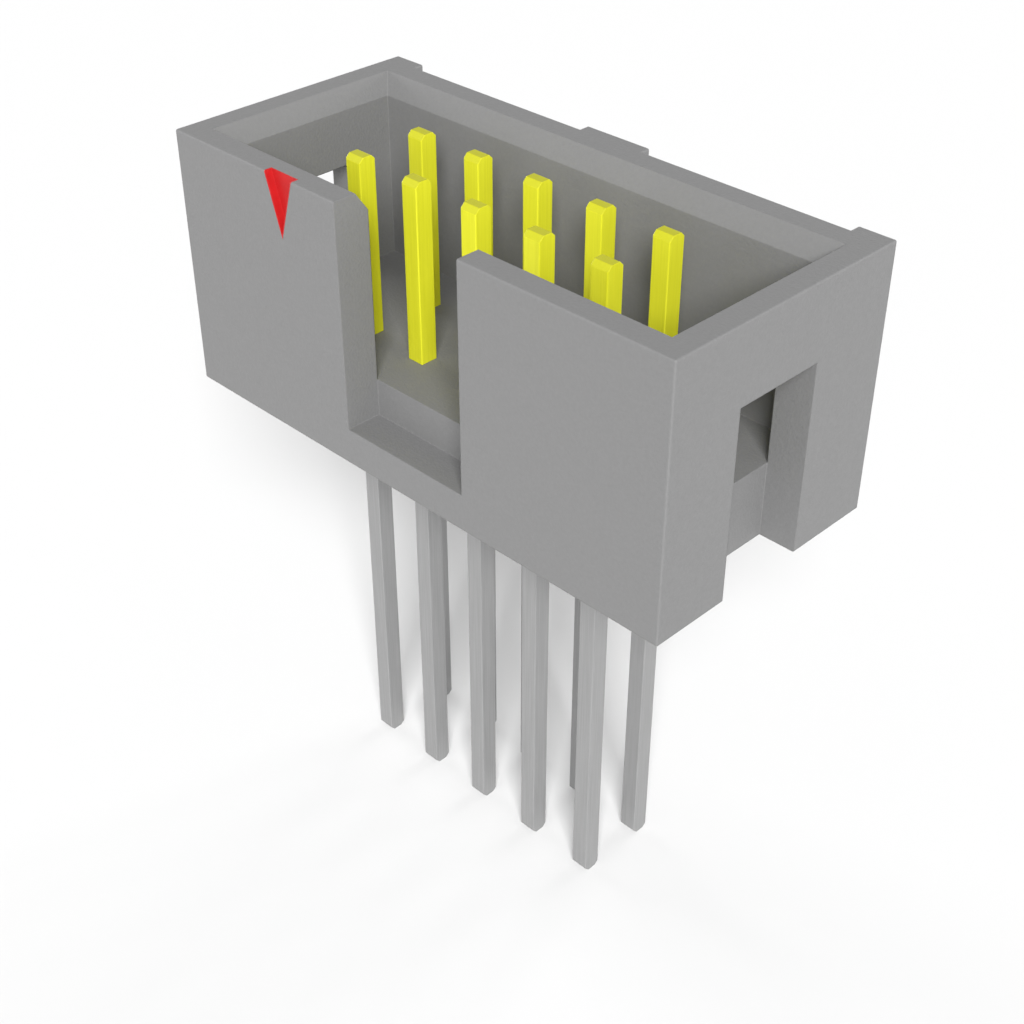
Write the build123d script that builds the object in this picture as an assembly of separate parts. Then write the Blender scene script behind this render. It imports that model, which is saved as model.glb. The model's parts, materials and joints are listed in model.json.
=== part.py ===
"""Shrouded pin header: a moulded box that grips two rows of long square contacts.

X runs along the rows, Y across them and Z up, in millimetres. The origin is on the
seating plane, under the middle of the contact grid. The wall with the key notch faces
-Y, and contact 1 is in the row beside that wall, at its -X end.
"""

import os
from math import atan2, sin

from build123d import *

# Contact grid
COLUMNS = 5
ROWS = 2
COLUMN_PITCH = 2.54
ROW_PITCH = 2.54

# Contacts: square wire pressed through the base, with two edges of each end coined off
PIN_SIDE = 0.64
WIRE_EDGE_RADIUS = 0.04
PIN_ABOVE_FLOOR = 6.11
TAIL_LENGTH = 14.71
TIP_CHAMFER = 0.16
PIN_HOLE_CLEARANCE = 0.0

# Housing walls and base
HOUSING_HEIGHT = 8.89
HOUSING_WIDTH = 8.89
WALL = 1.27
BASE_THICKNESS = 2.54
END_MARGIN = 3.81
EDGE_RADIUS = 0.06

# Slope round the mouth that leads the plug in
LEAD_IN_WIDTH = 0.45
LEAD_IN_DEPTH = 0.635

# Key notch in the front wall
KEY_WIDTH = 5.08
KEY_SILL_HEIGHT = 1.27

# Open-bottomed slot in each end wall
SLOT_WIDTH = 3.3
SLOT_HEIGHT = 6.35

# Ribs down the back wall
RIB_THICKNESS = 0.381
END_RIB_WIDTH = 1.27
MIDDLE_RIB_WIDTH = 2.54

# Triangular recess beside contact 1, and the paint that lines it
MARK_WIDTH = 1.27
MARK_HEIGHT = 2.03
MARK_DEPTH = 0.29
PAINT_THICKNESS = 0.04

# Worked out from the sizes above
cavity_length = (COLUMNS - 1) * COLUMN_PITCH + 2 * END_MARGIN
cavity_width = HOUSING_WIDTH - 2 * WALL
housing_length = cavity_length + 2 * WALL
first_pin_x = -(COLUMNS - 1) * COLUMN_PITCH / 2
first_pin_y = -(ROWS - 1) * ROW_PITCH / 2
pin_length = TAIL_LENGTH + BASE_THICKNESS + PIN_ABOVE_FLOOR


def pin_places():
    """Centre of each contact, numbered column by column from the front row."""
    places = {}
    for column in range(COLUMNS):
        for row in range(ROWS):
            number = column * ROWS + row + 1
            places[number] = (first_pin_x + column * COLUMN_PITCH, first_pin_y + row * ROW_PITCH)
    return places


def block(length, width, height, x=0.0, y=0.0, z=0.0):
    """A box standing on the height z, with the middle of its plan at x and y."""
    return extrude(Pos(x, y, z) * Rectangle(length, width), amount=height)


def outer_block():
    """The closed outside of the moulding, with its ribs and its rounded edges."""
    rib_y = (HOUSING_WIDTH + RIB_THICKNESS) / 2
    end_rib_x = (housing_length - END_RIB_WIDTH) / 2
    outline = Rectangle(housing_length, HOUSING_WIDTH)
    for x, width in ((-end_rib_x, END_RIB_WIDTH), (0, MIDDLE_RIB_WIDTH), (end_rib_x, END_RIB_WIDTH)):
        outline += Pos(x, rib_y) * Rectangle(width, RIB_THICKNESS)
    solid = extrude(outline, amount=HOUSING_HEIGHT)
    outer_edges = solid.edges().filter_by(lambda edge: not edge.is_interior)
    return fillet(outer_edges, min(EDGE_RADIUS, RIB_THICKNESS / 3))


def cavity():
    """The hollow over the base, with the slope that widens it towards the rim."""
    well_depth = HOUSING_HEIGHT - BASE_THICKNESS
    well = block(cavity_length, cavity_width, well_depth, z=BASE_THICKNESS)
    throat = Pos(0, 0, HOUSING_HEIGHT - LEAD_IN_DEPTH) * Rectangle(cavity_length, cavity_width)
    mouth_length = cavity_length + 2 * LEAD_IN_WIDTH
    mouth_width = cavity_width + 2 * LEAD_IN_WIDTH
    mouth = Pos(0, 0, HOUSING_HEIGHT) * Rectangle(mouth_length, mouth_width)
    return well + loft([throat, mouth])


def key_notch():
    """The gap in the front wall for the plug's key, from its sill to the rim."""
    notch_height = HOUSING_HEIGHT - KEY_SILL_HEIGHT
    notch_y = -(cavity_width + WALL) / 2
    return block(KEY_WIDTH, WALL, notch_height, y=notch_y, z=KEY_SILL_HEIGHT)


def end_slots():
    """The two gaps in the end walls, from the underside up to their flat tops."""
    slot_x = (cavity_length + WALL) / 2
    return [block(WALL, SLOT_WIDTH, SLOT_HEIGHT, x=side * slot_x) for side in (-1, 1)]


def pin_holes():
    """The square holes that grip the contacts, right through the base."""
    side = PIN_SIDE + 2 * PIN_HOLE_CLEARANCE
    return [block(side, side, BASE_THICKNESS, x, y) for x, y in pin_places().values()]


def mark_prism(inset=0.0):
    """A triangular prism cut into the front wall from the rim down, above contact 1.

    The inset moves its floor and its two slanting sides in by the same amount.
    """
    tip_half_angle = atan2(MARK_WIDTH / 2, MARK_HEIGHT)
    share = 1 - inset / (MARK_HEIGHT * sin(tip_half_angle))
    half_width = share * MARK_WIDTH / 2
    tip_z = HOUSING_HEIGHT - share * MARK_HEIGHT
    triangle = Polygon(
        (first_pin_x - half_width, HOUSING_HEIGHT),
        (first_pin_x, tip_z),
        (first_pin_x + half_width, HOUSING_HEIGHT),
        align=None,
    )
    front_face = Plane.XZ.offset(HOUSING_WIDTH / 2)
    return extrude(front_face * triangle, amount=inset - MARK_DEPTH)


def make_housing():
    """The insulator, moulded as one piece."""
    return outer_block() - [cavity(), key_notch(), *end_slots(), *pin_holes(), mark_prism()]


def make_mark():
    """The layer of paint on the floor and sides of the triangular recess."""
    return (outer_block() & mark_prism()) - mark_prism(inset=PAINT_THICKNESS)


def make_pin(x, y):
    """One contact, from its tail's end to its upper end."""
    wire = block(PIN_SIDE, PIN_SIDE, pin_length, x, y, -TAIL_LENGTH)
    coined = chamfer(wire.edges().filter_by(Axis.X), TIP_CHAMFER)
    return fillet(coined.edges().filter_by(Axis.Z), WIRE_EDGE_RADIUS)


def make_nodes():
    """Every piece of the header by its name."""
    nodes = {"housing": make_housing(), "pin_1_mark": make_mark()}
    for number, (x, y) in pin_places().items():
        nodes[f"pin_{number}"] = make_pin(x, y)
    return nodes


os.makedirs("parts", exist_ok=True)
for name, shape in make_nodes().items():
    export_step(shape, f"parts/{name}.step")
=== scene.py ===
"""Looks of a shrouded pin header: a grey moulded box, ten plated contacts and a red mark."""

import json
import math

import bpy
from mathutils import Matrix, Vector


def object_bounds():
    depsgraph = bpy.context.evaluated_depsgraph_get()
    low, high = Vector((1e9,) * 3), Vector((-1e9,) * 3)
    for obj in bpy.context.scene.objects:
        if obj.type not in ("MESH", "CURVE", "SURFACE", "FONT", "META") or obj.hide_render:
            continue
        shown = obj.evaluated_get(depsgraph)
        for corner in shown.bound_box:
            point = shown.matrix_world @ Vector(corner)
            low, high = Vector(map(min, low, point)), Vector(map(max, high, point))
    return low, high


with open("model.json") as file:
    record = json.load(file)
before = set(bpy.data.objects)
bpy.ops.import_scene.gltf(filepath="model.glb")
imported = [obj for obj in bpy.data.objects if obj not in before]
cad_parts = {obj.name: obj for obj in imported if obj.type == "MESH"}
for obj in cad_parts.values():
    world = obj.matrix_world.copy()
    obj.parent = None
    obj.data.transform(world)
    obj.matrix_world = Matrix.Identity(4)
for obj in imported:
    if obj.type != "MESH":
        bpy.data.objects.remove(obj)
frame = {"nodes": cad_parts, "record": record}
cad_low, cad_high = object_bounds()

MM = 0.001

# The plating changes inside the base, half-way through it, where nothing shows
PLATING_BORDER_Z = 1.27 * MM
PLATING_BLEND = 0.2 * MM

# Colours: the darker and the lighter shade of each, and a duller gold painted on the contacts' upward
# faces, their cut ends and chamfers, as painted shade
PLASTIC_SHADES = ((0.168, 0.168, 0.168), (0.176, 0.176, 0.176))
GOLD_SHADES = ((0.59, 0.585, 0.018), (0.64, 0.635, 0.024))
PAINTED_TOP_SHADE_GOLD = (0.42, 0.415, 0.012)
TIN_SHADES = ((0.25, 0.25, 0.25), (0.29, 0.29, 0.29))
PAINT_SHADES = ((0.395, 0.009, 0.010), (0.435, 0.011, 0.012))

# Noise keeps mostly between these two values
NOISE_LOW = 0.3
NOISE_HIGH = 0.7

# Camera: on the diagonal of the three axes, framing the ball round the whole header
VIEW_DIRECTION = Vector((1, -1, 1)).normalized()
FIELD_OF_VIEW = math.radians(35)
CLIP_START_SHARE = 0.01
CLIP_END_SHARE = 200

# Floor: a square of pale card, in metres
FLOOR_HALF_SIDE = 0.5
FLOOR_COLOUR = (0.715, 0.715, 0.715)

# Sky: its light fades between two heights, where 0 is the horizon and 1 is overhead
HORIZON_LIGHT = 1.0
OVERHEAD_LIGHT = 0.24
FADE_START = 0.3
FADE_END = 0.5

# Lamps: far enough away, in metres, to light the whole floor evenly
LAMP_DISTANCE = 20.0


def new_material(name):
    """A material with an empty node tree, and that tree."""
    material = bpy.data.materials.new(name)
    material.use_nodes = True
    tree = material.node_tree
    tree.nodes.clear()
    return material, tree


def add_node(tree, kind, inputs=None, **settings):
    """Adds a node of that kind, with its settings and its plain or linked inputs."""
    node = tree.nodes.new(kind)
    for key, value in settings.items():
        setattr(node, key, value)
    for key, value in (inputs or {}).items():
        if isinstance(value, bpy.types.NodeSocket):
            tree.links.new(value, node.inputs[key])
        else:
            node.inputs[key].default_value = value
    return node


def height_of(tree, vector):
    """The upward share of a place or a direction."""
    return add_node(tree, "ShaderNodeSeparateXYZ", {"Vector": vector}).outputs["Z"]


def grain(tree, size, stretch=(1, 1, 1)):
    """Noise from 0 to 1 whose lumps are about that size, in the part's own coordinates."""
    place = add_node(tree, "ShaderNodeTexCoord").outputs["Object"]
    scale = [share / size for share in stretch]
    mapped = add_node(tree, "ShaderNodeMapping", {"Vector": place, "Scale": scale})
    inputs = {"Vector": mapped.outputs["Vector"], "Scale": 1.0, "Detail": 2.0}
    return add_node(tree, "ShaderNodeTexNoise", inputs).outputs["Fac"]


def between(tree, factor, low, high, start=NOISE_LOW, end=NOISE_HIGH):
    """A number from low to high as the factor goes from start to end."""
    inputs = {"Value": factor, "From Min": start, "From Max": end, "To Min": low, "To Max": high}
    return add_node(tree, "ShaderNodeMapRange", inputs).outputs["Result"]


def blend_colours(tree, factor, first, second):
    """One colour where the factor is 0 and the other where it is 1."""
    node = add_node(tree, "ShaderNodeMix", data_type="RGBA")
    colours = [socket for socket in node.inputs if socket.type == "RGBA"]
    tree.links.new(factor, node.inputs[0])
    for socket, colour in zip(colours, (first, second)):
        if isinstance(colour, bpy.types.NodeSocket):
            tree.links.new(colour, socket)
        else:
            socket.default_value = (*colour, 1)
    return next(socket for socket in node.outputs if socket.type == "RGBA")


def bump(tree, height, depth, edge_radius):
    """Normal of a surface with that relief, and with its sharp edges eased by a small radius."""
    eased = add_node(tree, "ShaderNodeBevel", {"Radius": edge_radius}, samples=8)
    inputs = {"Height": height, "Distance": depth, "Strength": 1.0, "Normal": eased.outputs["Normal"]}
    return add_node(tree, "ShaderNodeBump", inputs).outputs["Normal"]


def surface(tree, inputs):
    """The Principled shader with those inputs, led to the material's output."""
    shader = add_node(tree, "ShaderNodeBsdfPrincipled", inputs)
    add_node(tree, "ShaderNodeOutputMaterial", {"Surface": shader.outputs["BSDF"]})


def moulded_plastic():
    """Mid grey thermoplastic with the fine matt grain of a spark-eroded mould."""
    material, tree = new_material("moulded_grey_plastic")
    speckle = between(tree, grain(tree, size=0.12 * MM), 0, 1)
    sheen = grain(tree, size=0.3 * MM)
    relief = grain(tree, size=0.09 * MM)
    surface(tree, {
        "Base Color": blend_colours(tree, speckle, *PLASTIC_SHADES),
        "Roughness": between(tree, sheen, 0.62, 0.7),
        "Specular IOR Level": 0.3,
        "Normal": bump(tree, relief, depth=0.012 * MM, edge_radius=0.05 * MM),
    })
    return material


def plated_contact():
    """Drawn square wire, gold over its upper end and tin over its tail."""
    material, tree = new_material("gold_and_tin_plate")
    coordinates = add_node(tree, "ShaderNodeTexCoord").outputs
    border = {"start": PLATING_BORDER_Z, "end": PLATING_BORDER_Z + PLATING_BLEND}
    gold_share = between(tree, height_of(tree, coordinates["Object"]), 0, 1, **border)
    # Painted shade: the more a gold face turns upward, the more of the duller gold it takes, so tops
    # and chamfers are darker than the sides
    painted_top_shade_share = between(tree, height_of(tree, coordinates["Normal"]), 0, 1, start=0.2, end=1.0)
    streaks = grain(tree, size=0.05 * MM, stretch=(1, 1, 0.02))
    tone = between(tree, streaks, 0, 1)
    drawn_gold = blend_colours(tree, tone, *GOLD_SHADES)
    # Gold with the painted shade laid over its upward faces
    gold = blend_colours(tree, painted_top_shade_share, drawn_gold, PAINTED_TOP_SHADE_GOLD)
    tin = blend_colours(tree, tone, *TIN_SHADES)
    surface(tree, {
        "Base Color": blend_colours(tree, gold_share, tin, gold),
        "Metallic": between(tree, gold_share, 0.35, 0.12, start=0, end=1),
        "Specular IOR Level": 0.25,
        "Roughness": between(tree, streaks, 0.45, 0.55),
        "Normal": bump(tree, streaks, depth=0.002 * MM, edge_radius=0.03 * MM),
    })
    return material


def marking_paint():
    """Red paint, a little glossy and a little uneven."""
    material, tree = new_material("red_marking_paint")
    clouds = between(tree, grain(tree, size=0.4 * MM), 0, 1)
    sheen = grain(tree, size=0.15 * MM)
    relief = grain(tree, size=0.12 * MM)
    surface(tree, {
        "Base Color": blend_colours(tree, clouds, *PAINT_SHADES),
        "Roughness": between(tree, sheen, 0.45, 0.55),
        "Specular IOR Level": 0.25,
        "Normal": bump(tree, relief, depth=0.004 * MM, edge_radius=0.02 * MM),
    })
    return material


def dress_nodes():
    """Gives every solid its finish, by the record's material slots."""
    finishes = {"housing": moulded_plastic(), "contact": plated_contact(), "paint": marking_paint()}
    for subpart in frame["record"]["subparts"]:
        node = frame["nodes"][subpart["node"]]
        node.data.materials.clear()
        node.data.materials.append(finishes[subpart["material_slot"]])


def add_floor():
    """A wide pale floor under the ends of the tails."""
    half = FLOOR_HALF_SIDE
    z = cad_low.z
    mesh = bpy.data.meshes.new("floor")
    corners = [(-half, -half, z), (half, -half, z), (half, half, z), (-half, half, z)]
    mesh.from_pydata(corners, [], [(0, 1, 2, 3)])
    floor = bpy.data.objects.new("floor", mesh)
    bpy.context.scene.collection.objects.link(floor)
    material, tree = new_material("pale_floor")
    surface(tree, {"Base Color": (*FLOOR_COLOUR, 1), "Roughness": 1.0, "Specular IOR Level": 0.0})
    mesh.materials.append(material)


def add_sky():
    """Even white light round the horizon, dimmer overhead."""
    world = bpy.data.worlds.new("studio_sky")
    world.use_nodes = True
    tree = world.node_tree
    tree.nodes.clear()
    direction = add_node(tree, "ShaderNodeTexCoord").outputs["Generated"]
    fade = {"start": FADE_START, "end": FADE_END}
    strength = between(tree, height_of(tree, direction), HORIZON_LIGHT, OVERHEAD_LIGHT, **fade)
    background = add_node(tree, "ShaderNodeBackground", {"Color": (1, 1, 1, 1), "Strength": strength})
    add_node(tree, "ShaderNodeOutputWorld", {"Surface": background.outputs["Background"]})
    bpy.context.scene.world = world


def add_lamp(name, direction, size, brightness):
    """A soft box that faces the header; brightness is what white paper there would gain."""
    aim = (cad_low + cad_high) / 2
    direction = Vector(direction).normalized()
    lamp = bpy.data.lights.new(name, "AREA")
    lamp.shape = "RECTANGLE"
    lamp.size, lamp.size_y = size
    lamp.energy = brightness * (math.pi * LAMP_DISTANCE) ** 2
    lamp_object = bpy.data.objects.new(name, lamp)
    lamp_object.location = aim + direction * LAMP_DISTANCE
    lamp_object.rotation_euler = direction.to_track_quat("Z", "Y").to_euler()
    bpy.context.scene.collection.objects.link(lamp_object)


def add_lamps():
    """A key light close to the camera's own line, and a low fill for each side that it misses."""
    add_lamp("key_light", direction=(1.03, -0.98, 0.97), size=(7.0, 7.0), brightness=1.56)
    add_lamp("left_fill", direction=(-1.0, 0.0, 0.15), size=(12.0, 4.8), brightness=0.7)
    add_lamp("back_fill", direction=(0.0, 1.0, 0.15), size=(12.0, 4.8), brightness=0.7)


def add_camera():
    """The photograph's view: the ball round the header just fills the frame."""
    centre = (cad_low + cad_high) / 2
    radius = (cad_high - cad_low).length / 2
    distance = radius / math.sin(FIELD_OF_VIEW / 2)
    camera = bpy.data.cameras.new("camera")
    camera.sensor_fit = "HORIZONTAL"
    camera.angle = FIELD_OF_VIEW
    camera.clip_start = distance * CLIP_START_SHARE
    camera.clip_end = distance * CLIP_END_SHARE
    camera_object = bpy.data.objects.new("camera", camera)
    camera_object.location = centre + VIEW_DIRECTION * distance
    camera_object.rotation_euler = VIEW_DIRECTION.to_track_quat("Z", "Y").to_euler()
    bpy.context.scene.collection.objects.link(camera_object)
    bpy.context.scene.camera = camera_object


dress_nodes()
add_floor()
add_sky()
add_lamps()
add_camera()
bpy.context.scene.view_settings.view_transform = "Standard"
